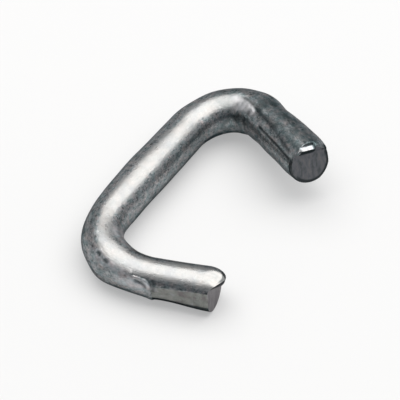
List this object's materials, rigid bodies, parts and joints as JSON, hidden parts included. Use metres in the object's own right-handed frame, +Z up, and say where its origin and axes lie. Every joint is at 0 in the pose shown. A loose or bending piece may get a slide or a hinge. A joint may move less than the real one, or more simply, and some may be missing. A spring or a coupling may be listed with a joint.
{
  "type": "shock cord crimp",
  "caption": "Open C of stout round steel wire with two inward-leaning legs, squeezed shut with pliers to clamp elastic shock cord.",
  "frame": {"origin": "middle of the bottom of the bounding box, on the surface that the crimp lies on", "axes": "+X along the spine, +Z up from the surface, and the open side with both legs' ends towards -Y"},
  "size_m": [0.0204, 0.0124, 0.0052],
  "materials": {
    "zinc_coated_steel": "dull zinc-coated drawn steel wire, mottled grey, brighter where it was pressed and sheared"
  },
  "bodies": {
    "root": {"crimp_wire": "zinc_coated_steel"}
  },
  "joints": []
}
